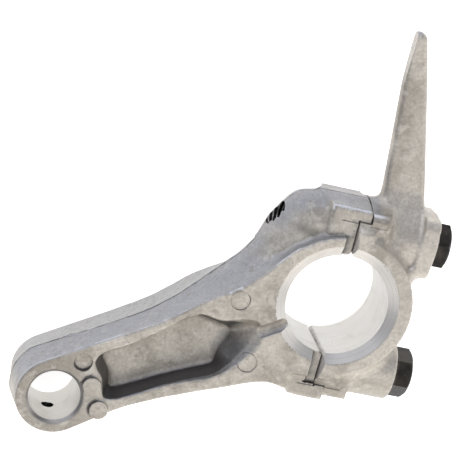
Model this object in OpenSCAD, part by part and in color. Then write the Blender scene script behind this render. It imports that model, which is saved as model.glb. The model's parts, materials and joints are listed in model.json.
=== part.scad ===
// Split-cap connecting rod of a small four-stroke engine: a cast aluminium rod, a bearing cap with a
// cast-in oil dipper, and two cap bolts. The rod lies flat: Z runs along the bores, X runs from the
// piston pin towards the cap, and the origin is the centre of the crankpin bore at mid-thickness.

/* [Bores] */
// Diameter of the crankpin bore
crankpin_bore_d = 26.02; // [25:0.01:26.5]
// Diameter of the piston pin bore
pin_bore_d = 13.01; // [12:0.01:14]
// Distance between the two bores
centre_distance = 73.5; // [70:0.5:80]
// Radial width of the chamfer at the crankpin bore's mouths
crankpin_chamfer_w = 2.6; // [1:0.1:2.8]
// Depth of that chamfer along the bore
crankpin_chamfer_h = 1.4; // [0.5:0.1:2]
// Chamfer of the piston pin bore
pin_chamfer = 1.0; // [0.5:0.1:1.5]

/* [Rod] */
// Thickness of the big end along the bore
big_end_t = 22; // [20:0.5:24]
// Thickness of the small end and of the beam
beam_t = 19; // [17:0.5:20]
// Outer radius of the small end
small_end_r = 10.5; // [10:0.1:12]
// Thickness of the web between the two pockets
web_t = 6; // [4:0.5:8]
// Radius of the flat face around the crankpin bore
big_end_r = 18; // [17:0.5:19]
// Diameter of the oil hole in the small end
oil_hole_d = 3.2; // [2:0.1:4]
// Direction of the oil hole, measured around the pin bore from +X
oil_hole_angle = -117; // [-160:1:-60]
// Radius of the oil groove from each pocket to the crankpin bore
oil_groove_r = 1.6; // [1:0.1:2]

/* [Split] */
// Direction of the bolts, measured from +X
split_angle = -31; // [-35:1:-25]
// Distance between the two bolt axes
bolt_spacing = 35.2; // [35:0.1:37]
// Half-width of the cap's tongue between the rod's two hooks
hook_v = 22; // [21.5:0.1:23]
// Reach of the hooks past the split plane
hook_u = 2.8; // [2:0.1:3]
// Running clearance of the cap's tongue and of the bolts' threads
clearance = 0.05; // [0.02:0.01:0.1]
// Distance from the bore's centre to the outer side of the lower lugs
lug_v = 25.3; // [25:0.1:26]
// The same for the upper lugs
upper_lug_v = 24.8; // [24.5:0.1:26]
// Thickness of the lugs
lug_t = 14; // [13:0.5:15]
// Size of the relief at each edge where the split meets the bore
relief = 1.5; // [0.5:0.1:2]

/* [Cap] */
// Distance from the split plane to the bolt seats
seat_u = 21.4; // [21:0.1:22]
// Radius of the boss around each bolt
boss_r = 7.4; // [7:0.1:8]
// Length of the oil dipper from the lug to its tip
dipper_l = 44.5; // [30:0.5:50]
// Width of the dipper at its root
dipper_root_w = 12.2; // [10:0.1:13]
// Radius of the dipper's tip
dipper_tip_r = 2.1; // [1.5:0.1:2.5]
// Thickness of the dipper
dipper_t = 4; // [3:0.5:5]

/* [Bolts] */
// Thread diameter
thread_d = 7; // [6:1:7]
// Length under the head
bolt_l = 32; // [30:1:33]
// Hexagon across its flats
hex_af = 11; // [10:1:11]
// Height of the head
head_h = 4.3; // [4:0.1:5]
// Diameter of the clearance hole through the cap
cap_hole_d = 7.5; // [7.2:0.1:7.8]

/* [Hidden] */
$fn = 96;

aluminium = [0.71, 0.69, 0.65];
blackened = [0.20, 0.19, 0.18];

bolt_v = bolt_spacing / 2;
bore_r = crankpin_bore_d / 2;
pin_r = pin_bore_d / 2;
tapped_r = thread_d / 2 + clearance;
over = 1; // overshoot of every cut past the face it opens
far = 100; // longer than any part
drill_tip = 2; // length of the drill point of the blind hole
blind_u = seat_u - bolt_l - 1.5; // end of the lower tapped hole's full diameter
pocket_left = -60.2; // left end of the pocket's rim
shoulder_t = 6; // thickness of the rib that carries the upper bolt's boss
groove_w = 1; // width and depth of the locating grooves beside the split
groove_z = 8.8; // height of the flat beside the split that carries the grooves
rod_groove_u = -4.4; // end of the grooves on the rod
cap_groove_u = 7.3; // end of the grooves on the cap
rod_strip_u = -4.6; // end of that flat on the rod
cap_strip_u = 7.6; // end of that flat on the cap
upper_boss_u = -16.6; // end of the upper bolt's boss on the rod
lower_boss_u = -11; // end of the lower bolt's boss on the rod
rod_lug_u = -9; // end of the rod's lugs
hook_root_u = -3; // where the hooks leave the rod's lugs
lug_in = 5; // how far the lugs run inwards behind the hooks
cap_lug_u = 9.6; // end of the cap's lower lug
cap_lug_v = 10; // inner side of the cap's lugs, inside the ring
tab_u = 3.6; // width of the full-height band beside the split on the cap
tab_v = 19.4; // its half-length along the split
rim_shift = 1; // how far the cap's thicker rim stands out from the bore's centre
rim_drop = 1.5; // how much lower than the face that rim lies
pad_r = 2.2; // ejector pads
pad_h = 0.8;
mark_r = 2.3; // ejector marks
mark_h = 0.3;
oil_groove_u = -23; // where the oil grooves start in the pockets
oil_groove_l = 12;
dipper_root_u = 6.4; // left edge of the dipper where it leaves the lug
dipper_root_v = 5; // how far the dipper runs inside the lug
dipper_tip_u = 4.2; // centre of the dipper's tip
tip_chamfer = 0.8; // bolt's lead chamfer
head_face = 0.3; // how much smaller than the hexagon the head's round face is

// Points of a cubic curve from a to d, pulled towards b and c
function curve(a, b, c, d, n = 10) =
    [for (i = [0 : n]) let (t = i / n, s = 1 - t)
        s * s * s * a + 3 * s * s * t * b + 3 * s * t * t * c + t * t * t * d];

// Points of an arc about centre c
function arc(c, r, from, to, n = 24) =
    [for (i = [0 : n]) let (w = from + (to - from) * i / n) c + r * [cos(w), sin(w)]];

beam_outline = concat(
    curve([-centre_distance, small_end_r - 0.2], [-52, 9.6], [-42, 10.4], [-31, 13.0]),
    curve([-31, 13.0], [-26, 14.4], [-22, 15.6], [-19.5, 16.8]),
    [[-6, 14], [-6, -14], [-21, -13.6]],
    curve([-26, -12.4], [-42, -9.4], [-60, -7.6], [-centre_distance, -small_end_r + 0.2])
);

shoulder_outline = concat(
    curve([-32, 12], [-24, 14.4], [-17, 16.6], [-13.8, 20.2]),
    curve([-13.8, 20.2], [-11.5, 23.4], [-7.0, 25.6], [-2.4, 27.8]),
    [[6, 16], [-10, 6]]
);

underside_outline = concat(
    curve([-34, -10.6], [-26, -12.4], [-23.4, -12.6], [-20.4, -15.4]),
    [[-13, -20.4], [-4, -12], [-20, -4]]
);

pocket_outline = concat(
    curve([pocket_left, 5.8], [-57, 7.6], [-46, 6.4], [-38.4, 8.4], 8),
    curve([-38.4, 8.4], [-31, 10.4], [-30.4, 4.4], [-21.6, 1.6], 8),
    curve([-21.6, -1.6], [-27, -6.0], [-31, -8.0], [-38, -7.4], 8),
    curve([-38, -7.4], [-46, -6.8], [-52, -6.6], [pocket_left, -5.4], 8)
);

// Turns the drawing so that local X runs along the bolts and local Y along the split
module bolt_frame() {
    rotate([0, 0, split_angle]) children();
}

// Lies along local X from u0 to u1 at local Y = v
module bar(r, u0, u1, v) {
    translate([u0, v, 0]) rotate([0, 90, 0]) cylinder(r = r, h = u1 - u0);
}

// Block given by its lowest and highest corner in X and Y, centred in Z
module block(low, high, t) {
    translate([low[0], low[1], -t / 2]) cube([high[0] - low[0], high[1] - low[1], t]);
}

module both_faces() {
    children();
    mirror([0, 0, 1]) children();
}

module crankpin_cut() {
    cylinder(r = bore_r, h = big_end_t + 2 * over, center = true);
    both_faces()
        translate([0, 0, big_end_t / 2 - crankpin_chamfer_h])
            cylinder(r1 = bore_r, r2 = bore_r + crankpin_chamfer_w, h = crankpin_chamfer_h);
    // relief along the bore where the split meets it
    bolt_frame()
        for (side = [-1, 1])
            linear_extrude(big_end_t + 2 * over, center = true)
                polygon([[-2 * relief, side * (bore_r - relief)], [2 * relief, side * (bore_r - relief)],
                         [0, side * (bore_r + relief)]]);
}

// Locating grooves that run along the bolts on both sides of the split, on both faces
module locating_grooves() {
    bolt_frame()
        for (side = [-1, 1])
            both_faces()
                translate([rod_groove_u, side * (hook_v - 0.2) - groove_w / 2, groove_z - groove_w])
                    cube([cap_groove_u - rod_groove_u, groove_w, big_end_t]);
}

module half_disc(side) {
    linear_extrude(big_end_t, center = true)
        polygon(arc([0, 0], big_end_r, side > 0 ? -90 : 90, side > 0 ? 90 : 270));
}

module rod_blank() {
    translate([-centre_distance, 0, 0]) cylinder(r = small_end_r, h = beam_t, center = true);
    linear_extrude(beam_t, center = true) polygon(beam_outline);
    linear_extrude(shoulder_t, center = true) polygon(shoulder_outline);
    linear_extrude(lug_t, center = true) polygon(underside_outline);
    bolt_frame() {
        half_disc(-1);
        bar(boss_r + 0.3, upper_boss_u, 0, bolt_v);
        bar(boss_r, lower_boss_u, 0, -bolt_v);
        block([rod_lug_u, hook_v - lug_in], [0, upper_lug_v], lug_t);
        block([rod_lug_u, -lug_v], [0, -hook_v + lug_in], lug_t);
        block([hook_root_u, hook_v], [hook_u, upper_lug_v], lug_t);
        block([hook_root_u, -lug_v], [hook_u, -hook_v], lug_t);
        block([rod_strip_u, -hook_v], [0, hook_v], 2 * groove_z);
    }
}

module pockets() {
    both_faces()
        translate([0, 0, web_t / 2])
            linear_extrude(far) polygon(pocket_outline);
}

module oil_grooves() {
    both_faces()
        translate([oil_groove_u, 0, big_end_t / 2])
            rotate([0, 90, 0]) cylinder(r = oil_groove_r, h = oil_groove_l);
}

// Two round pads that stand on the front face of the small end
module ejector_pads() {
    for (p = [[-64.3, -0.5], [-64.3, -7.2]])
        translate([p[0], p[1], beam_t / 2 - over]) cylinder(r = pad_r, h = over + pad_h);
}

// Three shallow round marks on the front face
module ejector_marks() {
    for (p = [[-64.3, 6.5], [-23, 8.8], [-25.6, -7.6]])
        translate([p[0], p[1], beam_t / 2 - mark_h]) cylinder(r = mark_r, h = over);
}

module rod() {
    color(aluminium)
    difference() {
        union() {
            rod_blank();
            ejector_pads();
        }
        crankpin_cut();
        pockets();
        oil_grooves();
        locating_grooves();
        ejector_marks();
        translate([-centre_distance, 0, 0]) {
            cylinder(r = pin_r, h = far, center = true);
            both_faces()
                translate([0, 0, beam_t / 2 - pin_chamfer])
                    cylinder(r1 = pin_r, r2 = pin_r + pin_chamfer, h = pin_chamfer);
            rotate([0, 90, oil_hole_angle]) cylinder(d = oil_hole_d, h = 2 * small_end_r);
        }
        bolt_frame() {
            // the split: nothing passes it but the two hooks
            block([0, -hook_v], [far, hook_v], far);
            bar(tapped_r, 2 * upper_boss_u, over, bolt_v);
            bar(tapped_r, blind_u, over, -bolt_v);
            translate([blind_u, -bolt_v, 0]) rotate([0, -90, 0])
                cylinder(r1 = tapped_r, r2 = 0, h = drill_tip);
        }
    }
}

// Blade in local u and v, from inside the cap's lug to the round tip
function dipper_outline() =
    let (v0 = lug_v - dipper_root_v, tip = [dipper_tip_u, lug_v + dipper_l - dipper_tip_r])
    concat([[dipper_root_u, v0]], arc(tip, dipper_tip_r, 180, 0, 16),
           [[dipper_root_u + dipper_root_w, v0]]);

module bearing_cap() {
    color(aluminium)
    difference() {
        union() {
            bolt_frame() {
                half_disc(1);
                translate([rim_shift, 0, 0])
                    cylinder(r = big_end_r, h = big_end_t - 2 * rim_drop, center = true);
                for (side = [-1, 1])
                    bar(boss_r, hook_u, seat_u, side * bolt_v);
                // tongue that locates between the rod's hooks
                block([0, -hook_v + clearance], [hook_u + over, hook_v - clearance], lug_t);
                block([hook_u, cap_lug_v], [cap_strip_u, upper_lug_v - 0.5], lug_t);
                block([hook_u, -lug_v], [cap_lug_u, -cap_lug_v], lug_t);
                block([0, -tab_v], [tab_u, tab_v], big_end_t);
                block([0, -hook_v + clearance], [cap_strip_u, hook_v - clearance], 2 * groove_z);
                linear_extrude(dipper_t, center = true) polygon(dipper_outline());
            }
        }
        crankpin_cut();
        locating_grooves();
        bolt_frame() {
            block([-far, -far], [0, far], far);
            for (side = [-1, 1])
                bar(cap_hole_d / 2, -over, seat_u + over, side * bolt_v);
        }
    }
}

// Hexagon screw with its head's outer corners turned off at 30 degrees, its seat at the cap's pad
module cap_bolt(v, turn) {
    corner_r = hex_af / 2 / cos(30);
    face_r = hex_af / 2 - head_face;
    color(blackened)
    bolt_frame() {
        bar(thread_d / 2, seat_u - bolt_l + tip_chamfer, seat_u, v);
        translate([seat_u - bolt_l + tip_chamfer, v, 0]) rotate([0, -90, 0])
            cylinder(r1 = thread_d / 2, r2 = thread_d / 2 - tip_chamfer, h = tip_chamfer);
        translate([seat_u, v, 0]) rotate([0, 90, 0])
            intersection() {
                rotate([0, 0, turn]) cylinder(r = corner_r, h = head_h, $fn = 6);
                cylinder(r1 = face_r + head_h / tan(30), r2 = face_r, h = head_h);
            }
    }
}

module upper_cap_bolt() cap_bolt(bolt_v, 44);

module lower_cap_bolt() cap_bolt(-bolt_v, 15);

rod();
bearing_cap();
upper_cap_bolt();
lower_cap_bolt();
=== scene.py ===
"""Looks of the connecting rod: cast skin with fillets and draft, machined bores, real screw threads."""

import json
import math

import bpy
import numpy as np
from mathutils import Matrix, Vector


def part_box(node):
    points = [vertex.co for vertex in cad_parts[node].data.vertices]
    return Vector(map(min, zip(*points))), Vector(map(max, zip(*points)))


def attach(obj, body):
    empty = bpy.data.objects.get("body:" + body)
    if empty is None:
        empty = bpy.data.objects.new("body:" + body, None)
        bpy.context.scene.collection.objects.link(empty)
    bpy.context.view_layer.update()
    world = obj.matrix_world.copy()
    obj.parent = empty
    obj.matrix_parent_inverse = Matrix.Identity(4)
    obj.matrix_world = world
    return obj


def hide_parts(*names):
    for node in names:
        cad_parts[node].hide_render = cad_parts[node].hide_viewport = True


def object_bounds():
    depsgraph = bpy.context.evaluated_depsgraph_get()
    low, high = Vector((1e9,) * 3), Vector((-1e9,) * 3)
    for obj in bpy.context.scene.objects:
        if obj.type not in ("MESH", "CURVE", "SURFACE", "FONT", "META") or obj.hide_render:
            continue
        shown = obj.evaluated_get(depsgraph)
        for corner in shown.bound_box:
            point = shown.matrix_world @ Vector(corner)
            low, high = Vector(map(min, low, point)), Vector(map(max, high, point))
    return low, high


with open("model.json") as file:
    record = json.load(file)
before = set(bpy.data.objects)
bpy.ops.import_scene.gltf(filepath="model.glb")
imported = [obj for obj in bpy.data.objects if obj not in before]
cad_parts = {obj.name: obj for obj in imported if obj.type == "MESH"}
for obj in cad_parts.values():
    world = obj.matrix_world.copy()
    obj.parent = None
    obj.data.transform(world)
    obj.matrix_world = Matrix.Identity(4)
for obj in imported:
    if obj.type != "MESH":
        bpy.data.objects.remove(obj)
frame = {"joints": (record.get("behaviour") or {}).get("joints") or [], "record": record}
cad_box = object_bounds()
low_corner, high_corner = (np.array(list(c)) for c in cad_box)

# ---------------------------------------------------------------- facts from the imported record, in mm
MM = 0.001
mounts = {m["name"]: m for m in frame["record"]["mounts"]}
joints = {j["name"]: j for j in frame["joints"]}
BORE_R = mounts["crankpin_bore"]["dims"]["r_mm"]
PIN_R = mounts["piston_pin_bore"]["dims"]["r_mm"]
PIN_X = mounts["piston_pin_bore"]["pos_m"][0] / MM
CU, SU = joints["cap_draw"]["axis"][0], -joints["cap_draw"]["axis"][1]
SEAT = np.array(joints["upper_bolt_turn"]["pos_m"][:2]) / MM
SEAT_U = CU * SEAT[0] - SU * SEAT[1]
BOLT_V = SU * SEAT[0] + CU * SEAT[1]
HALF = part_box("rod")[1].z / MM          # half-thickness of the big end


def to_uv(x, y):
    """Along the bolts, and along the split."""
    return CU * x - SU * y, SU * x + CU * y


def to_xy(u, v):
    return CU * u + SU * v, -SU * u + CU * v


# ---------------------------------------------------------------- distance fields
def join(a, b, r):
    """Union with a fillet of radius r."""
    return np.maximum(r, np.minimum(a, b)) - np.hypot(np.maximum(r - a, 0), np.maximum(r - b, 0))


def meet(a, b, r):
    """Intersection with its edge rounded to radius r."""
    return np.minimum(-r, np.maximum(a, b)) + np.hypot(np.maximum(r + a, 0), np.maximum(r + b, 0))


def carve(a, b, r):
    """a without b, with the rim rounded to radius r."""
    return meet(a, -b, r)


def slab(t, low, high):
    return np.maximum(low - t, t - high)


def smooth(t):
    t = np.clip(t, 0, 1)
    return t * t * (3 - 2 * t)


def spline(points, n=5):
    """Points of a smooth curve through the given ones."""
    p = np.array(points, float)
    q = np.vstack([2 * p[0] - p[1], p, 2 * p[-1] - p[-2]])
    t = np.linspace(0, 1, n, endpoint=False)[:, None]
    out = []
    for a, b, c, d in zip(q, q[1:], q[2:], q[3:]):
        out.append(0.5 * (2 * b + (c - a) * t + (2 * a - 5 * b + 4 * c - d) * t * t
                          + (3 * b - a - 3 * c + d) * t ** 3))
    return np.vstack(out + [p[-1:]]).tolist()


class Outline:
    """Signed distance to a closed outline, kept on a fine grid and read between its points."""

    def __init__(self, points, pitch=0.2, margin=6.0):
        p = np.array(points, float)
        self.low = p.min(0) - margin
        self.pitch = pitch
        nx, ny = np.ceil((p.max(0) + margin - self.low) / pitch).astype(int) + 1
        x = (self.low[0] + pitch * np.arange(nx))[:, None]
        y = (self.low[1] + pitch * np.arange(ny))[None, :]
        best = np.full((nx, ny), 1e9)
        odd = np.zeros((nx, ny), bool)
        for a, b in zip(p, np.roll(p, -1, 0)):
            e = b - a
            t = np.clip(((x - a[0]) * e[0] + (y - a[1]) * e[1]) / max(e @ e, 1e-12), 0, 1)
            best = np.minimum(best, (x - a[0] - t * e[0]) ** 2 + (y - a[1] - t * e[1]) ** 2)
            if a[1] != b[1]:
                crosses = (a[1] > y) != (b[1] > y)
                odd ^= crosses & (x < a[0] + (y - a[1]) / (b[1] - a[1]) * e[0])
        self.grid = np.where(odd, -1, 1) * np.sqrt(best)

    def __call__(self, x, y):
        nx, ny = self.grid.shape
        fx = np.clip((x - self.low[0]) / self.pitch, 0, nx - 1.001)
        fy = np.clip((y - self.low[1]) / self.pitch, 0, ny - 1.001)
        fx, fy = np.broadcast_arrays(fx, fy)
        i, j = fx.astype(int), fy.astype(int)
        s, t = fx - i, fy - j
        g = self.grid
        return ((g[i, j] * (1 - s) + g[i + 1, j] * s) * (1 - t)
                + (g[i, j + 1] * (1 - s) + g[i + 1, j + 1] * s) * t)


# ---------------------------------------------------------------- dual contouring
TETRA = np.array([(1, -1, -1), (-1, -1, 1), (-1, 1, -1), (1, 1, 1)], float)     # where a gradient is sampled
OFF_GRID = 0.0137                       # shift that keeps flat faces off the grid's points


def contour(field, axes):
    """Closed quad mesh of field = 0 on a grid with the given axes. Sharp edges and corners are kept."""
    ax, ay, az = axes
    shape = (len(ax), len(ay), len(az))
    values = np.broadcast_to(field(ax[:, None, None], ay[None, :, None], az[None, None, :]), shape)
    values = np.ascontiguousarray(values)
    inside = values < 0
    cells = np.array(shape) - 1
    points, normals, around, flip = [], [], [], []
    for d in range(3):
        lo = tuple(slice(0, -1) if k == d else slice(None) for k in range(3))
        hi = tuple(slice(1, None) if k == d else slice(None) for k in range(3))
        index = np.argwhere(inside[lo] != inside[hi])
        e, f = [k for k in range(3) if k != d]
        if d == 1:
            e, f = f, e
        keep = ((index[:, e] > 0) & (index[:, e] < shape[e] - 1)
                & (index[:, f] > 0) & (index[:, f] < shape[f] - 1))
        index = index[keep]
        step = np.zeros(3, int)
        step[d] = 1
        far = index + step
        p = np.stack([axes[k][index[:, k]] for k in range(3)], 1)
        a, b = axes[d][index[:, d]].copy(), axes[d][far[:, d]].copy()
        fa, fb = values[tuple(index.T)].astype(float), values[tuple(far.T)].astype(float)
        first = fa < 0
        for _ in range(5):
            m = a + (b - a) * np.clip(fa / (fa - fb), 0.02, 0.98)
            p[:, d] = m
            fm = field(p[:, 0], p[:, 1], p[:, 2])
            same = (fm < 0) == (fa < 0)
            a, b = np.where(same, m, a), np.where(same, b, m)
            fa, fb = np.where(same, fm, fa * 0.6), np.where(same, fb * 0.6, fm)
        p[:, d] = m
        eps = 0.004
        g = sum(t * field(*(p + eps * t).T)[:, None] for t in TETRA)
        g /= np.linalg.norm(g, axis=1)[:, None] + 1e-12
        quads = []
        for de, df in ((-1, -1), (0, -1), (0, 0), (-1, 0)):
            c = index.copy()
            c[:, e] += de
            c[:, f] += df
            quads.append((c[:, 0] * cells[1] + c[:, 1]) * cells[2] + c[:, 2])
        points.append(p)
        normals.append(g)
        around.append(np.stack(quads, 1))
        flip.append(~first)
    points, normals = np.vstack(points), np.vstack(normals)
    around, flip = np.vstack(around), np.concatenate(flip)
    used, faces = np.unique(around, return_inverse=True)
    faces = faces.reshape(-1, 4)
    n = len(used)
    who = faces.ravel()
    p4, n4 = np.repeat(points, 4, 0), np.repeat(normals, 4, 0)

    def total(w):
        return np.bincount(who, weights=w, minlength=n)

    count = total(np.ones(len(who)))
    mass = np.stack([total(p4[:, k]) for k in range(3)], 1) / count[:, None]
    off = np.einsum("ij,ij->i", n4, p4 - mass[who])
    ata = np.zeros((n, 3, 3))
    atb = np.zeros((n, 3))
    for i in range(3):
        atb[:, i] = total(n4[:, i] * off)
        for j in range(i, 3):
            ata[:, i, j] = ata[:, j, i] = total(n4[:, i] * n4[:, j])
    w, basis = np.linalg.eigh(ata)
    inv = np.where(w > 0.09 * w[:, 2:], 1 / np.maximum(w, 1e-9), 0)
    shift = np.einsum("nij,nj,nkj,nk->ni", basis, inv, basis, atb)
    cell = np.stack(np.unravel_index(used, cells), 1)
    low = np.stack([axes[k][cell[:, k]] for k in range(3)], 1)
    high = np.stack([axes[k][cell[:, k] + 1] for k in range(3)], 1)
    verts = np.clip(mass + shift, low, high)
    faces = np.where(flip[:, None], faces[:, ::-1], faces)
    return verts, faces


def steps(*runs):
    """Grid axis from (start, end, pitch) runs."""
    out = []
    for start, end, pitch in runs:
        n = max(1, round((end - start) / pitch))
        out.extend(np.linspace(start, end, n, endpoint=False))
    return np.array(out + [runs[-1][1]]) + OFF_GRID


def add_mesh(name, verts_mm, faces, inside=True):
    """Object from points in mm. With inside, points past the CAD's overall box are moved onto it. That levels
    the big end's faces, where the cap's fillets swell up to 0.24 mm and the rod's 0.09 mm above them, and
    trims the flash at the pin eye's end by up to 0.13 mm and the dipper's tip by 0.02 mm."""
    mesh = bpy.data.meshes.new(name)
    verts = np.asarray(verts_mm) * MM
    if inside:
        verts = np.clip(verts, low_corner, high_corner)
    mesh.from_pydata(verts.tolist(), [], faces if isinstance(faces, list) else faces.tolist())
    mesh.validate()
    mesh.update()
    obj = bpy.data.objects.new(name, mesh)
    bpy.context.scene.collection.objects.link(obj)
    return obj


def finish_shading(obj, angle=32):
    """Smooth shading, with edges sharper than angle degrees kept sharp."""
    mesh = obj.data
    mesh.polygons.foreach_set("use_smooth", np.ones(len(mesh.polygons), bool))
    mesh.set_sharp_from_angle(angle=math.radians(angle))
    mesh.update()


def centres(obj):
    """Polygon centres along x, y and z, in mm."""
    c = np.zeros(len(obj.data.polygons) * 3, np.float32)
    obj.data.polygons.foreach_get("center", c)
    return c.reshape(-1, 3).astype(float).T / MM


# ---------------------------------------------------------------- shared machined features
CHAMFER_W, CHAMFER_H = 2.6, 1.4         # crankpin bore: radial width and depth
PIN_CHAMFER, PIN_SLOPE = 0.7, 1.2       # pin bore: depth, and radial width per depth
RELIEF = 0.8                            # how far the notch at the split reaches past the bore
HOOK_V, HOOK_U = 22.0, 2.8              # inner face and tip of the rod's hooks
GROOVE_Z, GROOVE_V = 8.8, 21.8          # height of the lugs' faces, and where the slots run on them
GROOVE_HALF, GROOVE_DEEP = 0.52, 0.42   # the slots' half-width and depth
PITCH, THREAD_IN, THREAD_D = 1.0, 2.96, 0.60    # thread: pitch, inner radius and depth
MOUTH = 0.75                            # chamfer at the tapped holes' mouths


def crankpin_cut(x, y, u, v, az):
    """Negative inside what the boring bar, the chamfer and the split reliefs take away."""
    r = np.hypot(x, y)
    bore = r - BORE_R
    slope = CHAMFER_W / CHAMFER_H
    cone = (r - BORE_R - (az - HALF + CHAMFER_H) * slope) / math.hypot(1, slope)
    notch = np.maximum((np.abs(u) + np.abs(v) - BORE_R - RELIEF) / math.sqrt(2), 8 - np.abs(v))
    return np.minimum(np.minimum(bore, cone), notch)


def seam_gap(av, az):
    """Half-width of the dark line that the split leaves on the outside."""
    return 0.02 + 0.10 * smooth((az - 6.5) / 1.5)


def groove_cut(d, u, v, az, u0, u1):
    """d with the shallow slot across a lug's face cut below it."""
    g = np.maximum(np.abs(np.abs(v) - GROOVE_V) - GROOVE_HALF, np.maximum(7.0 - az, slab(u, u0, u1)))
    return np.maximum(d, -np.maximum(g, -d - GROOVE_DEEP))


def thread(u, angle):
    """1 on the crest and 0 in the root of the right-hand thread."""
    phase = np.abs((u / PITCH - angle / (2 * math.pi)) % 1 - 0.5) * 2
    return np.clip((phase - 0.22) / 0.66, 0, 1)


# ---------------------------------------------------------------- the rod's casting
rod_face = Outline(
    spline([(PIN_X, 9.7), (-66, 9.8), (-58, 9.9), (-48, 10.0), (-43, 10.2), (-37.6, 11.0), (-32, 12.0),
            (-27, 12.3), (-22, 12.4), (-16.3, 13.8), (-10.6, 15.6), (-5, 17.0)])
    + [(4, 8), (4, -12), (-9, -23.6)]
    + spline([(-12.9, -21.4), (-15.8, -19.5), (-18.4, -17.0), (-20.4, -15.0), (-22.6, -13.5), (-25, -12.7),
              (-28.7, -11.9), (-33.7, -11.2), (-39, -10.4), (-44, -9.8), (-49, -9.2), (-56.5, -8.7),
              (-61.7, -8.7), (PIN_X + 5, -9.3), (PIN_X, -9.7)]))
rod_middle = Outline(
    spline([(PIN_X, 10.5), (-66, 10.4), (-57.7, 10.2), (-47, 10.4), (-41.6, 11.0), (-36, 12.1), (-30.4, 13.6),
            (-24.6, 15.3), (-19.5, 16.8), (-12, 17.4)])
    + [(4, 8), (4, -12), (-9, -24.6)]
    + spline([(-12.9, -22.3), (-15.8, -20.5), (-18.4, -18.2), (-20.4, -16.1), (-22.6, -14.5), (-25, -13.5),
              (-28.7, -12.7), (-33.7, -11.9), (-39, -11.0), (-44, -10.4), (-49, -9.8), (-56.5, -9.3),
              (-61.7, -9.4), (PIN_X + 5, -10.1), (PIN_X, -10.5)]))
shoulder = Outline(
    spline([(-40, 9.5), (-32, 12.6), (-24.6, 15.2), (-19.5, 16.8), (-13.9, 20.2), (-11.2, 22.5), (-9.1, 24.25),
            (-6.9, 25.5), (-4.4, 26.85), (-2.3, 27.8), (0.4, 28.1), (4.3, 26.9)])
    + [to_xy(4, 25.35), to_xy(4, 6), (-12, 4), (-38, 4)])
pocket_rim = Outline(
    spline([(-60.65, 6.0), (-58.9, 6.8), (-54.4, 6.9), (-49.2, 7.2), (-43.8, 7.9), (-38.4, 8.8), (-33.9, 9.05),
            (-32, 8.3), (-30, 6.55), (-27.8, 5.1), (-24.3, 3.85), (-22, 2.7), (-20.7, 1.6), (-20.7, 0.2),
            (-21.5, -1.3), (-22.9, -2.7), (-24.7, -3.9), (-27.2, -5.2), (-29.8, -6.3), (-32.6, -7.3),
            (-35.4, -7.6), (-38, -7.3), (-43, -6.6), (-48, -6.2), (-53.4, -6.2), (-58.5, -6.0), (-61.3, -5.3),
            (-62.3, -4.0), (-61.4, -0.8), (-61.1, 1.0), (-61.5, 3.2), (-61.4, 5.0), (-60.65, 6.0)], 4)[:-1])
pocket_floor = Outline(
    spline([(-58.4, 5.0), (-54.4, 5.5), (-49.2, 5.8), (-43.8, 6.5), (-38.4, 7.4), (-34.2, 7.0), (-31.8, 5.0),
            (-29.2, 2.6), (-27.9, 0.9), (-29.4, -0.9), (-31.8, -2.9), (-32.8, -4.8), (-33.9, -6.9), (-38, -6.6),
            (-43, -6.1), (-48, -5.7), (-53.4, -5.4), (-59.0, -4.9), (-59.9, -3.8), (-59.4, -2.2), (-58.8, -0.5),
            (-58.7, 1.6), (-58.9, 3.8), (-58.4, 5.0)], 4)[:-1])
BEAM_HALF, WEB_HALF = 9.5, 3.0
PADS, PAD_R, PAD_H = [(-64.0, -0.4), (-64.3, -7.0)], 2.4, 0.85
MARKS = [(-64.0, 6.3, 0.65, 2.35), (-22.55, 9.5, 0.2, 2.45), (-25.6, -6.9, 0.2, 2.5)]   # x, y, depth, radius
OIL_ANGLE, OIL_R, OIL_Z = math.radians(-117), 1.6, -0.6


def face_height(x, y):
    """Half-thickness: it rises from the beam to the big end, and falls off towards the lower lug."""
    u, v = to_uv(x, y)
    drop = smooth((-19.1 - v) / 1.4) * smooth((u + 8.4) / 4.0)
    return BEAM_HALF + (HALF - BEAM_HALF) * smooth((x + 58) / 30) - 2.1 * drop


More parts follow.
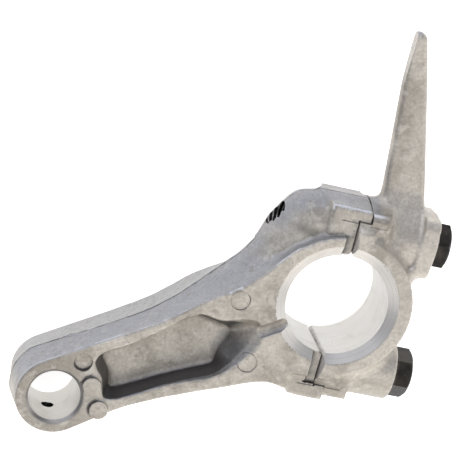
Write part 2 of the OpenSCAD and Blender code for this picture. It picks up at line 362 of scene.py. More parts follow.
def rod_blank(x, y, z):
    """The casting before the split, the bores and the tapped holes are cut."""
    az = np.abs(z)
    u, v = to_uv(x, y)
    top = face_height(x, y)
    share = np.clip(az / top, 0, 1)
    pin = np.hypot(x - PIN_X, y)
    ring = np.hypot(x, y)
    # outline at the face and, wider by the draft, at the parting line
    flat = join(np.minimum(rod_face(x, y), pin - 9.7), ring - 17.8, 2.0)
    middle = join(np.minimum(rod_middle(x, y), pin - 10.5), ring - 18.6, 2.0)
    flash = 0.14 + 0.05 * np.sin(1.7 * x) * np.sin(0.61 * x + 1)
    parting = np.where(z > 0, 0.0, 0.12) - flash * np.exp(-(z / 0.16) ** 2)
    burr = 0.40 * np.exp(-((x + 65.2) / 0.8) ** 2) + 0.16 * np.exp(-((x + 76.0) / 1.4) ** 2)
    d = meet(middle + (flat - middle) * share + parting - burr * np.exp(-(z / 0.3) ** 2), az - top, 0.5)
    d = join(d, meet(shoulder(x, y) + 0.6 * parting, az - 7.9, 7.8), 1.3)
    # upper and lower lug beside the split
    pad = np.maximum(-9.6 + 0.27 * az - u, np.maximum(u - 8, slab(v, 12, 25.5) + 0.06 * az))
    pad = meet(pad, az - GROOVE_Z, 0.9)
    low = meet(np.maximum(slab(u, -5.4, 8), slab(v, -25.9, -12) + 0.08 * az), az - 9.0, 0.9)
    d = join(d, pad, 0.25 + 1.6 * smooth((8.4 - az) / 2.5))
    d = join(d, low, 2.6)
    depth_share = np.clip((az - WEB_HALF) / (BEAM_HALF - WEB_HALF), 0, 1.3)
    cavity = pocket_floor(x, y) + (pocket_rim(x, y) - pocket_floor(x, y)) * depth_share
    d = carve(d, meet(cavity * 0.97, WEB_HALF - az, 1.3), 0.5)
    # oil groove from the recess to the crankpin bore
    channel = np.maximum(np.hypot(y + 0.2, az - HALF - 0.1) - 1.65, slab(x, -24, -11))
    d = carve(d, channel, 0.12)
    for px, py in PADS:
        side = np.hypot(x - px, y - py) - PAD_R + 0.1 * (z - BEAM_HALF)
        d = join(d, meet(side, slab(z, 5, BEAM_HALF + PAD_H), 0.25), 0.3)
    for px, py, depth, radius in MARKS:
        d = np.maximum(d, -np.maximum(np.hypot(x - px, y - py) - radius, top - depth - z))
    # flat patch on the rear half of the rib
    land = np.maximum(slab(x, -18.6, -13.9), slab(z, -6.5, -0.6))
    d = np.maximum(d, -np.maximum(land, 17.0 + 0.32 * (x + 18) - y))
    return d


def across_oil_hole(x, y, z):
    """Distance from the oil hole's axis."""
    return np.hypot(-(x - PIN_X) * math.sin(OIL_ANGLE) + y * math.cos(OIL_ANGLE), z - OIL_Z)


def rod_field(x, y, z):
    az = np.abs(z)
    u, v = to_uv(x, y)
    d = rod_blank(x, y, z)
    strip = np.maximum(slab(u, -2.6, 3), GROOVE_Z + 0.25 - az)
    d = carve(d, np.maximum(strip, slab(v, -21.4, 21.4)), 0.2)
    d = groove_cut(d, u, v, az, -4.4, 0.3)
    d = np.maximum(d, np.minimum(u + seam_gap(np.abs(v), az), np.maximum(u - HOOK_U, HOOK_V - np.abs(v))))
    d = np.maximum(d, -crankpin_cut(x, y, u, v, az))
    pin = np.hypot(x - PIN_X, y)
    d = np.maximum(d, PIN_R - pin)
    d = np.maximum(d, (PIN_R + np.minimum((az - BEAM_HALF + PIN_CHAMFER) * PIN_SLOPE, 0.95) - pin) * 0.62)
    along = (x - PIN_X) * math.cos(OIL_ANGLE) + y * math.sin(OIL_ANGLE)
    return np.maximum(d, -np.maximum(across_oil_hole(x, y, z) - OIL_R, -along))


# ---------------------------------------------------------------- the cap's casting, in (u, v, z)
FIT = 0.14                              # gap between the cap's tongue and the rod's hooks
LOW_SEAT = 0.5                          # how much further in the lower bolt's seat is
CAP_HOLE_R = 3.75
blade = Outline(
    [(6.6, 17)] + spline([(6.05, 24.6), (5.5, 31.3), (3.8, 48.6), (2.0, 66.2)], 3)
    + [(4.05 + 2.05 * math.cos(w), 67.7 + 2.05 * math.sin(w)) for w in np.linspace(3.0, 0.24, 14)]
    + spline([(8.9, 58.4), (15.6, 33.4), (17.6, 25.6)], 3) + [(18.8, 17)], margin=8.0)


def cap_blank(u, v, z):
    az, av = np.abs(z), np.abs(v)
    ring = join(np.hypot(u - 1.0, v) - 18.75 + 0.06 * az, np.maximum(u - 3.7, av - 19.5), 1.2)
    d = meet(ring, az - HALF, 0.6)
    boss = np.hypot(av - BOLT_V, z) - 7.45
    upper = np.hypot(np.maximum(np.abs(v - BOLT_V) - 5.0, 0), np.maximum(az - 4.7, 0)) - 2.75
    upper = meet(upper, slab(u, 17.3, SEAT_U), 0.5)
    boss = join(meet(boss, u - SEAT_U + LOW_SEAT * (v < 0), 0.7), upper, 1.3)
    d = join(d, boss, 4.2)
    tongue = meet(np.maximum(u - 7.6, av - 22.4), az - GROOVE_Z, 0.8)
    lug = meet(np.maximum(slab(u, 1, 7.8), slab(v, 10, 25.0) + 0.1 * az), az - GROOVE_Z, 1.5)
    low = meet(np.maximum(slab(u, 1, 9.6), slab(v, -25.7, -10) + 0.08 * az), az - 8.2, 1.5)
    d = join(join(d, tongue, 1.6), lug, 3.6)
    d = join(d, low, 2.2)
    plate = meet(blade(u, v) + 0.04 * az, az - 1.8 - 2.4 * smooth((31 - v) / 10), 1.3)
    return join(d, plate, 2.6)


def cap_field(u, v, z):
    az, av = np.abs(z), np.abs(v)
    x, y = to_xy(u, v)
    d = cap_blank(u, v, z)
    bevel = 1.3 * np.clip((20.8 - av) / 6.5, 0.08, 1)
    d = np.maximum(d, (az - HALF + bevel - u) / math.sqrt(2))
    d = groove_cut(d, u, v, az, 2.6, 7.3)
    lug_gap = 0.05 + 0.30 * np.maximum(smooth((av - 22.9) / 0.5), smooth((az - 7.3) / 0.6))
    d = np.maximum(d, np.minimum(np.maximum(seam_gap(av, az) - u, av - HOOK_V + FIT), HOOK_U + lug_gap - u))
    d = np.maximum(d, -crankpin_cut(x, y, u, v, az))
    return np.maximum(d, CAP_HOLE_R - np.hypot(av - BOLT_V, z))


# ---------------------------------------------------------------- bolts, in (u, v from the axis, z)
BOLT_L, HEAD_H, HEX_HALF, WASHER_R = 32.0, 4.3, 5.5, 5.3
TIP_U = SEAT_U - BOLT_L


def bolt_field(turn, seat):
    """A bolt whose hexagon is turned by turn degrees and whose washer face is at u = seat."""
    sides = [math.radians(turn + 30 + 60 * k) for k in range(6)]

    def field(u, p, q):
        r = np.hypot(p, q)
        crest = THREAD_IN - 0.06 + THREAD_D * thread(u, np.arctan2(q, p))
        crest = np.maximum(crest, THREAD_IN - 0.2 + 0.68 * smooth((u - 9.0) / 1.6))
        crest = np.minimum(crest, 2.55 + (u - TIP_U) * 0.9)
        shank = np.maximum((r - crest) * 0.8, slab(u, TIP_U, SEAT_U + 1))
        hexagon = p * math.sin(sides[0]) - q * math.cos(sides[0])
        for a in sides[1:]:
            hexagon = np.maximum(hexagon, p * math.sin(a) - q * math.cos(a))
        top = SEAT_U + HEAD_H
        head = meet(hexagon - HEX_HALF, slab(u, seat + 0.35, top), 0.12)
        head = np.maximum(head, (r - 5.15 - (top - u) * math.sqrt(3)) * 0.5)
        washer = np.maximum(r - WASHER_R, slab(u, seat, seat + 1))
        return np.minimum(np.minimum(shank, head), washer)

    return field


def threaded_cutter(name, u0, u1, v0, blind):
    """Solid of a tapped hole: thread form outside, a drill point or a flat at its inner end."""
    around, per_turn = 48, 8
    us = np.arange(u0, u1 + 1e-6, PITCH / per_turn)
    w = np.arange(around) * 2 * math.pi / around
    r = THREAD_IN + THREAD_D * thread(us[:, None], w[None, :])
    mouth = MOUTH * (1 - np.clip(-us / MOUTH, 0, 1))
    r = np.maximum(r, THREAD_IN + mouth[:, None])
    verts = np.stack([np.broadcast_to(us[:, None], r.shape), v0 + r * np.cos(w), r * np.sin(w)], 2)
    verts = verts.reshape(-1, 3)
    ends = np.array([[u0 - (1.8 if blind else 0), v0, 0], [us[-1], v0, 0]])
    verts = np.vstack([verts, ends])
    n, m = len(us), around
    i, j = np.meshgrid(np.arange(n - 1), np.arange(m), indexing="ij")
    k = (j + 1) % m
    faces = np.stack([i * m + j, i * m + k, (i + 1) * m + k, (i + 1) * m + j], -1).reshape(-1, 4).tolist()
    faces += [[n * m, (j + 1) % m, j] for j in range(m)]
    faces += [[n * m + 1, (n - 1) * m + j, (n - 1) * m + (j + 1) % m] for j in range(m)]
    x, y = to_xy(verts[:, 0], verts[:, 1])
    return add_mesh(name, np.stack([x, y, verts[:, 2]], 1), faces, inside=False)


def cut_with(obj, cutter):
    """Cuts the closed mesh cutter out of obj, and removes cutter."""
    mod = obj.modifiers.new("cut", "BOOLEAN")
    mod.operation = "DIFFERENCE"
    mod.solver = "MANIFOLD"
    mod.object = cutter
    dg = bpy.context.evaluated_depsgraph_get()
    made = bpy.data.meshes.new_from_object(obj.evaluated_get(dg))
    obj.modifiers.clear()
    old = obj.data
    obj.data = made
    made.name = old.name
    bpy.data.meshes.remove(old)
    bpy.data.objects.remove(cutter)


def from_uv(verts, v0=0.0):
    x, y = to_xy(verts[:, 0], verts[:, 1] + v0)
    return np.stack([x, y, verts[:, 2]], 1)


rod = add_mesh("rod_casting", *contour(rod_field, (
    steps((-84.6, -57, 0.36), (-57, -36, 0.7), (-36, 16.4, 0.41)),
    steps((-26.4, 30.6, 0.40)),
    steps((-11.6, -0.5, 0.40), (-0.5, 0.5, 0.1), (0.5, 11.6, 0.40)))))
for name, start, v0, blind in (("upper_tap", -26.0, BOLT_V, False), ("lower_tap", TIP_U - 2.0, -BOLT_V, True)):
    cut_with(rod, threaded_cutter(name, start, 3.0, v0, blind))

verts, faces = contour(cap_field, (
    steps((-0.7, 22.5, 0.36)),
    steps((-26.6, 27.0, 0.37), (27.0, 70.8, 0.7)),
    steps((-11.6, 11.6, 0.37))))
cap = add_mesh("cap_casting", from_uv(verts), faces)

bolts = []
fields = [bolt_field(44, SEAT_U), bolt_field(15, SEAT_U - LOW_SEAT)]
for name, field, v0 in (("upper_bolt_steel", fields[0], BOLT_V), ("lower_bolt_steel", fields[1], -BOLT_V)):
    verts, faces = contour(field, (
        steps((TIP_U - 0.4, 11.2, 0.125), (11.2, 21.0, 0.6), (21.0, 26.2, 0.2)),
        steps((-6.9, 6.9, 0.24)),
        steps((-6.9, 6.9, 0.24))))
    bolts.append(add_mesh(name, from_uv(verts, v0), faces))

# ---------------------------------------------------------------- camera, floor and light
view_dir = np.array([0.04060856, -0.35086848, -0.93554383])
right = np.array([0.95057369, -0.27489972, 0.14435996])
up = np.cross(right, view_dir)
cam_data = bpy.data.cameras.new("camera")
cam_data.sensor_width = 36
cam_data.lens = 184.19
cam_data.clip_start, cam_data.clip_end = 0.05, 20
camera = bpy.data.objects.new("camera", cam_data)
bpy.context.scene.collection.objects.link(camera)
camera.matrix_world = Matrix([[*(float(c[i]) for c in (right, up, -view_dir)), t] for i, t in enumerate(
    (-0.0432155, 0.2288504, 0.5464006))] + [[0, 0, 0, 1]])
bpy.context.scene.camera = camera
bpy.context.scene.view_settings.view_transform = "Standard"


def area(name, place, size, power, colour):
    data = bpy.data.lights.new(name, "AREA")
    data.shape, data.size, data.size_y = "RECTANGLE", *size
    data.energy, data.color = power, colour
    lamp = bpy.data.objects.new(name, data)
    bpy.context.scene.collection.objects.link(lamp)
    lamp.location = place
    lamp.rotation_euler = (-Vector(place)).to_track_quat("-Z", "Y").to_euler()


area("front", (0.0, -1.1, 0.40), (1.6, 0.8), 6.5, (1.0, 0.96, 0.90))
area("left", (-0.95, -0.5, 0.75), (0.9, 0.9), 2.6, (1.0, 0.97, 0.93))
area("right", (0.95, -0.5, 0.65), (0.9, 0.9), 3.4, (1.0, 0.97, 0.93))
area("top", (0.0, -0.40, 1.0), (0.9, 0.7), 2.5, (1.0, 0.98, 0.95))
area("back", (0.0, 0.75, 1.05), (1.4, 0.5), 2.2, (0.86, 0.88, 1.0))
area("rim", (0.0, 1.1, 0.45), (1.8, 0.30), 5.0, (0.86, 0.90, 1.0))
world = bpy.data.worlds.new("studio")
bpy.context.scene.world = world
world.use_nodes = True
world.node_tree.nodes["Background"].inputs["Color"].default_value = (0.86, 0.90, 1.0, 1)
world.node_tree.nodes["Background"].inputs["Strength"].default_value = 0.35

FLOOR = 3.0
floor_mesh = bpy.data.meshes.new("floor")
floor_mesh.from_pydata([(-FLOOR, -FLOOR, 0), (FLOOR, -FLOOR, 0), (FLOOR, FLOOR, 0), (-FLOOR, FLOOR, 0)], [],
                       [(0, 1, 2, 3)])
floor = bpy.data.objects.new("floor", floor_mesh)
floor.location.z = -HALF * MM - 0.0002
bpy.context.scene.collection.objects.link(floor)
white = bpy.data.materials.new("pale_floor")
white.use_nodes = True
shader = white.node_tree.nodes["Principled BSDF"]
shader.inputs["Base Color"].default_value = (0.95, 0.95, 0.95, 1)
shader.inputs["Roughness"].default_value = 0.9
shader.inputs["Emission Color"].default_value = (1, 1, 1, 1)
shader.inputs["Emission Strength"].default_value = 0.7
floor_mesh.materials.append(white)


# ---------------------------------------------------------------- materials
class Surface:
    """A metal whose nodes read the piece's own coordinates, in metres, and its hollow and edge marks, which
    carry painted shade, and painted highlights on the castings' edges and wear on the bolts' corners.
    """

    def __init__(self, name):
        self.mat = bpy.data.materials.new(name)
        self.mat.use_nodes = True
        self.tree = self.mat.node_tree
        self.shader = self.tree.nodes["Principled BSDF"]
        place = self.node("ShaderNodeTexCoord")
        self.at, self.normal = place.outputs["Object"], place.outputs["Normal"]
        self.hollow = self.node("ShaderNodeAttribute", attribute_name="hollow").outputs["Fac"]
        self.edge = self.node("ShaderNodeAttribute", attribute_name="edge").outputs["Fac"]

    def node(self, kind, inputs=(), **settings):
        """A new node; inputs are values or sockets by name or index, settings its own properties."""
        made = self.tree.nodes.new(kind)
        for key, value in settings.items():
            setattr(made, key, value)
        for key, value in dict(inputs).items():
            if isinstance(value, bpy.types.NodeSocket):
                self.tree.links.new(value, made.inputs[key])
            else:
                made.inputs[key].default_value = value
        return made

    def noise(self, size, detail=3.0, rough=0.6, at=None):
        """Noise whose lumps are about size mm across."""
        return self.node("ShaderNodeTexNoise", {"Vector": at or self.at, "Scale": 0.6 / (size * MM),
                                                "Detail": detail, "Roughness": rough}).outputs["Fac"]

    def cells(self, size):
        """Distance from the nearest of scattered points about size mm apart."""
        made = self.node("ShaderNodeTexVoronoi", {"Vector": self.at, "Scale": 1 / (size * MM)})
        return made.outputs["Distance"]

    def span(self, value, a, b, c=0.0, d=1.0):
        """value from a to b, as c to d."""
        return self.node("ShaderNodeMapRange", {"Value": value, "From Min": a, "From Max": b, "To Min": c,
                                                "To Max": d}, interpolation_type="SMOOTHSTEP").outputs["Result"]

    def maths(self, operation, a, b=0.0, c=0.0):
        return self.node("ShaderNodeMath", {0: a, 1: b, 2: c}, operation=operation).outputs[0]

    def vector(self, operation, a, b=(0, 0, 0), output="Vector"):
        return self.node("ShaderNodeVectorMath", {0: a, 1: b}, operation=operation).outputs[output]

    def mixed(self, a, share, b):
        """share of a, and the rest of b."""
        return self.maths("ADD", self.maths("MULTIPLY", a, share), self.maths("MULTIPLY", b, 1 - share))

    def blend(self, share, a, b):
        rgba = [(*c, 1) if isinstance(c, tuple) else c for c in (a, b)]
        return self.node("ShaderNodeMix", {0: share, 6: rgba[0], 7: rgba[1]}, data_type="RGBA").outputs[2]

    def part(self, vector, axis):
        return self.node("ShaderNodeSeparateXYZ", {0: vector}).outputs[axis]

    def rings(self, cx):
        """Coordinates that are the same all round the axis at x = cx: turned marks follow them."""
        x = self.maths("SUBTRACT", self.part(self.at, 0), cx * MM)
        y, z = self.part(self.at, 1), self.part(self.at, 2)
        r = self.maths("SQRT", self.maths("ADD", self.maths("MULTIPLY", x, x), self.maths("MULTIPLY", y, y)))
        return self.node("ShaderNodeCombineXYZ", {0: r, 1: z}).outputs[0]

    def finish(self, colour, rough, height, metallic):
        """The material, with its colour, roughness and bump wired up. height is in mm."""
        bump = self.node("ShaderNodeBump", {"Height": height, "Distance": MM, "Strength": 1.0})
        self.tree.links.new(bump.outputs[0], self.shader.inputs["Normal"])
        self.tree.links.new(colour, self.shader.inputs["Base Color"])
        self.tree.links.new(rough, self.shader.inputs["Roughness"])
        self.shader.inputs["Metallic"].default_value = metallic
        return self.mat


def cast_skin():
    """Die-cast skin: warm worn faces, side walls darker and cooler as painted shade, pits, scuffs, painted
    highlights on edges and painted shade in the corners.
    """
    s = Surface("cast_aluminium")
    blotch, patch, grain = s.noise(7.0, 4), s.noise(1.6, 3), s.noise(0.32, 2)
    # regions of the cap and the lugs, and the side walls facing +y, which get painted shade, darker and cooler
    # than the faces
    along, across = (s.vector("DOT_PRODUCT", s.at, (*c, 0), "Value") for c in ((CU, -SU), (SU, CU)))
    blade_root = s.maths("MULTIPLY", s.span(along, 4 * MM, 7 * MM), s.span(across, 22 * MM, 24.5 * MM))
    boss = s.span(along, 7 * MM, 10 * MM)
    lug = s.maths("MULTIPLY", s.span(across, 22.3 * MM, 23.8 * MM),
                  s.maths("SUBTRACT", 1.0, s.maths("MAXIMUM", blade_root, boss)))
    side = s.maths("MULTIPLY", s.span(s.part(s.normal, 1), 0.40, 0.85),
                   s.maths("MAXIMUM", s.span(along, 0.6 * MM, 0.2 * MM), lug))
    flat = s.maths("SUBTRACT", 1.0, side)
    # the ragged parting line at mid-thickness, with a nick, and the walls' half behind it, painted paler as
    # painted light
    seam = s.maths("MULTIPLY_ADD", s.maths("SUBTRACT", s.noise(2.6, 3), 0.5), 1.5 * MM, s.part(s.at, 2))
    nick = s.maths("ABSOLUTE", s.maths("ADD", s.part(s.at, 0), 64.9 * MM))
    seam = s.maths("ADD", seam, s.span(nick, 1.5 * MM, 0.2 * MM, 0.0, 0.8 * MM))
    rear = s.span(seam, 0.06 * MM, -0.06 * MM)
    flash = s.maths("MULTIPLY", s.span(s.maths("ABSOLUTE", seam), 0.42 * MM, 0.12 * MM), side)
    face = s.blend(s.span(blotch, 0.36, 0.62), (0.39, 0.355, 0.305), (0.60, 0.56, 0.495))
    # painted shade on the walls' near half, and painted light, paler, on the half behind the parting line
    wall = s.blend(rear, (0.315, 0.317, 0.333), (0.44, 0.43, 0.415))
    wall = s.blend(s.maths("MULTIPLY", s.span(blotch, 0.45, 0.7), 0.25), wall, (0.52, 0.52, 0.53))
    scar = s.maths("MULTIPLY", s.span(s.noise(1.1, 5, 0.8), 0.57, 0.68), 0.6)
    wall = s.blend(scar, wall, (0.18, 0.175, 0.18))
    face = s.blend(s.maths("MULTIPLY", boss, 0.5), face, (0.64, 0.595, 0.53))
    dim = s.maths("MULTIPLY", s.span(across, -17 * MM, -20 * MM), s.span(along, -15 * MM, -11 * MM))
    dim = s.maths("MAXIMUM", dim, s.span(s.part(s.at, 0), -58 * MM, -70 * MM))
    face = s.blend(s.maths("MULTIPLY", dim, 0.5), face, (0.33, 0.305, 0.262))
    # side walls take the painted wall shade
    colour = s.blend(side, face, wall)
    colour = s.blend(s.maths("MULTIPLY", flash, 0.85), colour, (0.07, 0.068, 0.07))
    colour = s.blend(s.span(s.noise(0.45, 3, 0.7), 0.35, 0.68, 0.30, 0.0), colour, (0.20, 0.18, 0.155))
    level = s.span(s.maths("ABSOLUTE", s.part(s.normal, 2)), 0.3, 0.85, 0.15, 0.5)
    scuff = s.maths("MULTIPLY", s.span(patch, 0.50, 0.68), level)
    colour = s.blend(scuff, colour, (0.72, 0.675, 0.61))
    stain = s.maths("MULTIPLY", s.span(s.noise(1.7, 5, 0.75), 0.56, 0.70), s.span(boss, 0, 1, 0.55, 0.25))
    colour = s.blend(stain, colour, (0.24, 0.21, 0.18))
    speck = s.span(s.cells(0.8), 0.16, 0.06)
    speck = s.maths("MULTIPLY", speck, s.span(patch, 0.46, 0.6))
    colour = s.blend(s.maths("MULTIPLY", speck, 0.6), colour, (0.16, 0.14, 0.12))
    # painted highlight along the edges that the edge mark picks out
    colour = s.blend(s.maths("MULTIPLY", s.span(s.edge, 0.10, 0.45), 0.85), colour, (0.80, 0.81, 0.86))
    for px, py, _, radius in MARKS[1:]:
        away = s.vector("DISTANCE", s.at, (px * MM, py * MM, (HALF - 0.2) * MM), "Value")
        ring = s.span(s.maths("ABSOLUTE", s.maths("SUBTRACT", away, radius * MM)), 0.22 * MM, 0.04 * MM)
        ring = s.maths("MULTIPLY", ring, s.span(s.noise(2.0, 2), 0.42, 0.56, 0.05, 0.6))
        colour = s.blend(ring, colour, (0.10, 0.09, 0.08))
    # painted shade in hollows and corners, from the hollow mark
    colour = s.blend(s.maths("MULTIPLY", s.span(s.hollow, 0.28, 0.95), 0.88), colour, (0.078, 0.074, 0.073))
    rough = s.span(s.mixed(patch, 0.6, grain), 0.3, 0.7, 0.40, 0.62)
    height = s.maths("MULTIPLY", grain, 0.05)
    height = s.maths("MULTIPLY_ADD", patch, 0.14, height)
    height = s.maths("MULTIPLY_ADD", speck, -0.05, height)
    return s.finish(colour, rough, height, 0.72)


def turned(name, cx, tone, metallic=0.9):
    """Bored or chamfered on a lathe: fine rings, bright, faintly stained, with painted shade in hollows."""
    s = Surface(name)
    rings = s.rings(cx)
    line = s.noise(0.16, 2, 0.6, rings)
    band = s.noise(1.1, 2, 0.5, rings)
    stain = s.noise(4.0, 4)
    dull = tuple(0.9 * c for c in tone)
    colour = s.blend(s.span(line, 0.35, 0.65), dull, tone)
    colour = s.blend(s.maths("MULTIPLY", s.span(stain, 0.5, 0.75), 0.25), colour, (0.42, 0.38, 0.33))
    # painted shade in hollows, from the hollow mark
    colour = s.blend(s.maths("MULTIPLY", s.span(s.hollow, 0.3, 1.2), 0.35), colour, (0.30, 0.28, 0.26))
    rough = s.span(s.mixed(band, 0.5, stain), 0.3, 0.7, 0.26, 0.42)
    return s.finish(colour, rough, s.maths("MULTIPLY", line, 0.005), metallic)


def milled():
    """Flat machined faces of the split, the bolt seats and the holes, with painted shade in the crevices."""
    s = Surface("milled_aluminium")
    along = s.node("ShaderNodeMapping", {0: s.at, "Scale": (0.12, 0.12, 1.0)}).outputs[0]
    line, stain = s.noise(0.14, 2, 0.6, along), s.noise(1.8, 4)
    colour = s.blend(s.span(line, 0.35, 0.65), (0.50, 0.48, 0.45), (0.68, 0.66, 0.63))
    colour = s.blend(s.maths("MULTIPLY", s.span(stain, 0.45, 0.7), 0.4), colour, (0.30, 0.27, 0.24))
    # painted shade, near black, in hollows and crevices
    colour = s.blend(s.maths("MULTIPLY", s.span(s.hollow, 0.05, 0.7), 0.8), colour, (0.05, 0.045, 0.04))
    return s.finish(colour, s.span(stain, 0.3, 0.7, 0.30, 0.48), s.maths("MULTIPLY", line, 0.012), 0.85)


def oily_bore_and_painted_shade():
    """Inside of the tapped and drilled holes: cut metal under dark oil and painted shade, near black, with
    lighter thread crests that are partly clean metal and partly painted highlight.
    """
    s = Surface("oily_bore_and_painted_shade")
    film = s.noise(0.9, 3)
    # near-black colour: dark oil together with painted shade inside the holes
    colour = s.blend(s.span(film, 0.4, 0.68), (0.012, 0.011, 0.010), (0.07, 0.065, 0.06))
    for v0 in (BOLT_V, -BOLT_V):
        arm = s.vector("SUBTRACT", s.at, (*(c * MM for c in to_xy(0, v0)), 0))
        r = s.vector("LENGTH", s.vector("CROSS_PRODUCT", arm, (*to_xy(1, 0), 0)), output="Value")
        # lighter thread crests: clean metal together with painted highlight
        crest = s.span(r, (THREAD_IN + 0.12) * MM, (THREAD_IN + 0.02) * MM)
        colour = s.blend(s.maths("MULTIPLY", crest, s.span(r, 2.6 * MM, 2.9 * MM)), colour, (0.34, 0.33, 0.31))
    return s.finish(colour, s.span(film, 0.3, 0.7, 0.30, 0.50), s.maths("MULTIPLY", film, 0.03), 0.6)


def black_oxide():
    """Blackened steel: brown-black, worn lighter on the corners, with a rolled grain."""
    s = Surface("blackened_steel")
    cloud, grain = s.noise(2.2, 4), s.noise(0.28, 2)
    colour = s.blend(s.span(cloud, 0.38, 0.64), (0.022, 0.020, 0.019), (0.050, 0.044, 0.037))
    rust = s.maths("MULTIPLY", s.span(s.noise(0.7, 4, 0.7), 0.60, 0.72), 0.5)
    colour = s.blend(rust, colour, (0.13, 0.11, 0.09))
    colour = s.blend(s.maths("MULTIPLY", s.span(s.edge, 0.2, 0.7), 0.4), colour, (0.16, 0.145, 0.12))
    rough = s.span(s.mixed(cloud, 0.5, grain), 0.3, 0.7, 0.28, 0.50)
    height = s.maths("MULTIPLY_ADD", cloud, 0.05, s.maths("MULTIPLY", grain, 0.02))
    return s.finish(colour, rough, height, 0.8)


LUG_SHINE = 0.36                        # painted highlight on the bevels of the lugs


def mark_painted_light_and_wear(obj, field, frame_of):
    """Vertex marks read from the field: how deep in a hollow, for painted shade, and how sharp an edge, for
    painted highlights on the castings and wear on the bolts' corners.
    """
    mesh = obj.data
    co = np.empty(len(mesh.vertices) * 3, np.float32)
    mesh.vertices.foreach_get("co", co)
    p = frame_of(co.reshape(-1, 3).astype(float).T / MM)
    eps = 0.05
    n = sum(t[:, None] * field(*(p + eps * t[:, None])) for t in TETRA)
    n /= np.linalg.norm(n, axis=0) + 1e-12
    reaches = ((0.6, 0.6), (1.6, 0.4), (4.0, 0.15))     # distance looked outwards, and its weight
    # painted shade: the deeper a point lies in a hollow, the darker its colour is painted
    hollow = sum(w * np.clip(1 - field(*(p + n * h)) / h, 0, 1) for h, w in reaches)
    edge = np.clip(1 + field(*(p - n * 0.8)) / 0.8, 0, 1)
    if obj in (rod, cap):
        u, v = to_uv(p[0], p[1]) if obj is rod else p[:2]
        az = np.abs(p[2])
        lug_rim = (np.abs(v - 24.5) < 0.9) & (slab(az, 7.2, 9.0) < 0)
    if obj is cap:
        hollow *= np.where(u > 8.5, 0.55, 0.8)
        # painted highlight along the bevel on top of the cap's lug
        edge = LUG_SHINE * np.clip((8.8 - u) / 4, 0, 1) * (lug_rim & (u > 3.1) & (slab(n[2], 0.35, 0.96) < 0))
    if obj is rod:
        # painted shade on the recess's walls and at its end, below the shoulder, and on the lugs' faces
        hollow += 0.8 * smooth((0.8 - np.abs(n[2])) / 0.35) * (pocket_rim(p[0], p[1]) < 0.25) * (az < 9.3)
        hollow += 0.3 * smooth((p[0] + 30.5) / 3.5) * smooth(-pocket_rim(p[0], p[1]) / 0.8) * (az < 9.6)
        hollow += 0.62 * np.exp(-((u + 12) / 7) ** 2 - ((v - 16.8) / 2.6) ** 2) * (n[2] > 0.3)
        lug_face = (slab(u, -9.5, 0) < 0) & (np.abs(az - GROOVE_Z) < 0.5) & ((np.abs(v) > 21.5) | (u < -2.8))
        hollow += 0.42 * (lug_face & (np.abs(v) > 20.2))
        hollow += 0.45 * (slab(u, -2.7, -0.2) < 0) * (slab(np.abs(v), 13, 21.3) < 0) * (np.abs(az - 9.05) < 0.2)
        # painted shadow: a dark crescent on one side of each round mark and pad of the small end
        for (px, py), radius, (ax, ay) in ((MARKS[0][:2], 2.2, (-0.6, -0.8)), (PADS[0], 2.65, (-0.3, 0.95)),
                                           (PADS[1], 2.65, (-0.7, 0.7))):
            dx, dy = p[0] - px, p[1] - py
            crescent = np.exp(-((np.hypot(dx, dy) - radius) / 0.4) ** 2) * smooth((dx * ax + dy * ay) / radius)
            hollow += 0.75 * crescent * (np.abs(p[2] - BEAM_HALF) < 0.9)
        hollow = np.minimum(hollow, 1.3)
        marks = np.min([np.hypot(p[0] - m[0], p[1] - m[1]) - 2.9 for m in MARKS + PADS], 0)
        # painted highlight on the upper edges of the beam's faces, strongest where they face +y, and on the
        # lug's bevel
        thin = np.hypot(p[0] - MARKS[0][0], p[1] - MARKS[0][1]) < 5.5
        edge = np.minimum(edge, np.where(thin, 0.18, 0.3))
        edge = edge * (marks > 0) * (az > 6) * (u < -10.5) * (0.25 + 0.75 * smooth(n[1] / 0.5))
        bevel = lug_rim & (slab(n[2], 0.35, 0.96) < 0) & (n[1] > 0.2)
        edge = np.where(bevel & (slab(u, -8.6, 2.3) < 0), LUG_SHINE, edge)
    if obj in (rod, cap):
        slots = np.abs(np.abs(v) - GROOVE_V) - GROOVE_HALF - 0.08
        slots = np.maximum(slots, np.maximum(slab(u, -4.5, 7.4), 7.5 - az))
        hollow *= np.where((slots < 0.2) & (v > 0), 0.35, 1)
    for name, values in (("hollow", hollow), ("edge", edge)):
        mesh.attributes.new(name, "FLOAT", "POINT").data.foreach_set("value", values.astype(np.float32))


def same(p):
    return p


def as_uv(v0):
    """Turns x, y, z into the bolts' u, v, z, with v counted from v0."""
    def place(p):
        u, v = to_uv(p[0], p[1])
        return np.array([u, v - v0, p[2]])
    return place


def facing(obj):
    """Polygon normals along u, v and z."""
    n = np.zeros(len(obj.data.polygons) * 3, np.float32)
    obj.data.polygons.foreach_get("normal", n)
    n = n.reshape(-1, 3).T
    return np.abs([*to_uv(n[0], n[1]), n[2]])


def on_chamfer(r, az, radius, half, depth, slope):
    """Whether a point lies on the cone that opens a bore of this radius towards a face."""
    return (np.abs(r - radius - (az - half + depth) * slope) < 0.22) & (az > half - depth - 0.1)


BRIGHT, SATIN, DULL = (0.72, 0.70, 0.665), (0.62, 0.60, 0.565), (0.36, 0.34, 0.32)
CAST, CRANK, CRANK_RIM, PIN, PIN_RIM, MILLED, OILY_AND_SHADED = range(7)
metals = [cast_skin(), turned("crankpin_bore", 0, BRIGHT), turned("crankpin_chamfer", 0, SATIN, 0.55),
          turned("pin_bore", PIN_X, BRIGHT), turned("pin_chamfer", PIN_X, DULL), milled(), oily_bore_and_painted_shade()]
steel = black_oxide()


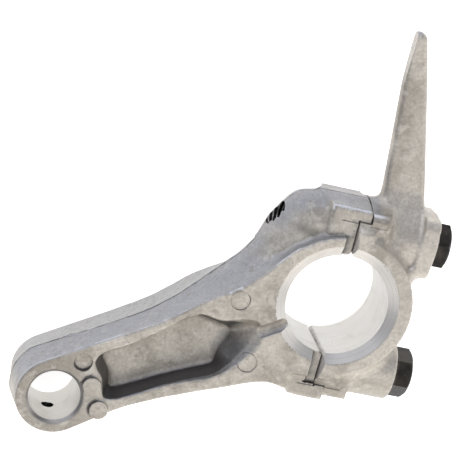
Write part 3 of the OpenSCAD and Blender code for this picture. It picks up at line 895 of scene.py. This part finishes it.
def sort_polygons(obj):
    """Which metal each polygon of a casting is."""
    x, y, z = centres(obj)
    fu, fv, fz = facing(obj)
    u, v = to_uv(x, y)
    av, az, r, pin = np.abs(v), np.abs(z), np.hypot(x, y), np.hypot(x - PIN_X, y)
    bolt = np.hypot(av - BOLT_V, z)
    kind = np.full(len(x), CAST)
    kind[(np.abs(u) < 0.3) & (av > 12.5) & (fu > 0.7)] = MILLED
    kind[(av > 12.5) & (np.abs(u) + av < BORE_R + RELIEF + 0.12)] = MILLED
    kind[(np.abs(u - HOOK_U - 0.15) < 0.35) & (slab(av, HOOK_V - 0.3, 26) < 0) & (fu > 0.7)] = MILLED
    kind[(np.abs(av - HOOK_V) < 0.3) & (u > -0.1) & (u < HOOK_U + 0.2) & (fv > 0.7)] = MILLED
    seat = SEAT_U - LOW_SEAT * (v < 0)
    kind[(np.abs(u - seat) < 0.12) & (bolt < 7.2)] = MILLED
    kind[np.abs(r - BORE_R) < 0.12] = CRANK
    kind[on_chamfer(r, az, BORE_R, HALF, CHAMFER_H, CHAMFER_W / CHAMFER_H) & (fz < 0.95)] = CRANK_RIM
    kind[np.abs(pin - PIN_R) < 0.1] = PIN
    kind[on_chamfer(pin, az, PIN_R, BEAM_HALF, PIN_CHAMFER, PIN_SLOPE) & (fz < 0.85)] = PIN_RIM
    # the oil hole and the tapped holes take the oily material with its painted shade
    kind[(across_oil_hole(x, y, z) < OIL_R + 0.08) & (pin > PIN_R + 0.1) & (pin < 10.6) & (y < 0)] = OILY_AND_SHADED
    inner = np.where(v > 0, -27.0, TIP_U - 4.5)
    skin = rod_blank(x, y, z) if obj is rod else np.full(len(x), -1.0)
    kind[(bolt < 3.72) & (u < 2.9) & (u > inner) & (skin < -0.12)] = OILY_AND_SHADED
    kind[(bolt < 3.9) & (u > 2.9) & (u < SEAT_U - 0.8)] = MILLED
    return kind


upper, lower = bolts
for obj, body, node, slot, mats, kinds, field, frame_of in (
        (rod, "rod", "rod", "cast_aluminium", metals, sort_polygons(rod), rod_field, same),
        (cap, "cap", "bearing_cap", "cast_aluminium", metals, sort_polygons(cap), cap_field, as_uv(0)),
        (upper, "upper_bolt", "upper_cap_bolt", "blackened_steel", [steel], None, fields[0], as_uv(BOLT_V)),
        (lower, "lower_bolt", "lower_cap_bolt", "blackened_steel", [steel], None, fields[1], as_uv(-BOLT_V))):
    obj.data.materials.clear()
    for mat in mats:
        obj.data.materials.append(mat)
    if kinds is not None:
        obj.data.polygons.foreach_set("material_index", kinds.astype(np.int32))
    mark_painted_light_and_wear(obj, field, frame_of)
    finish_shading(obj)
    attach(obj, body)
    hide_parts(node)
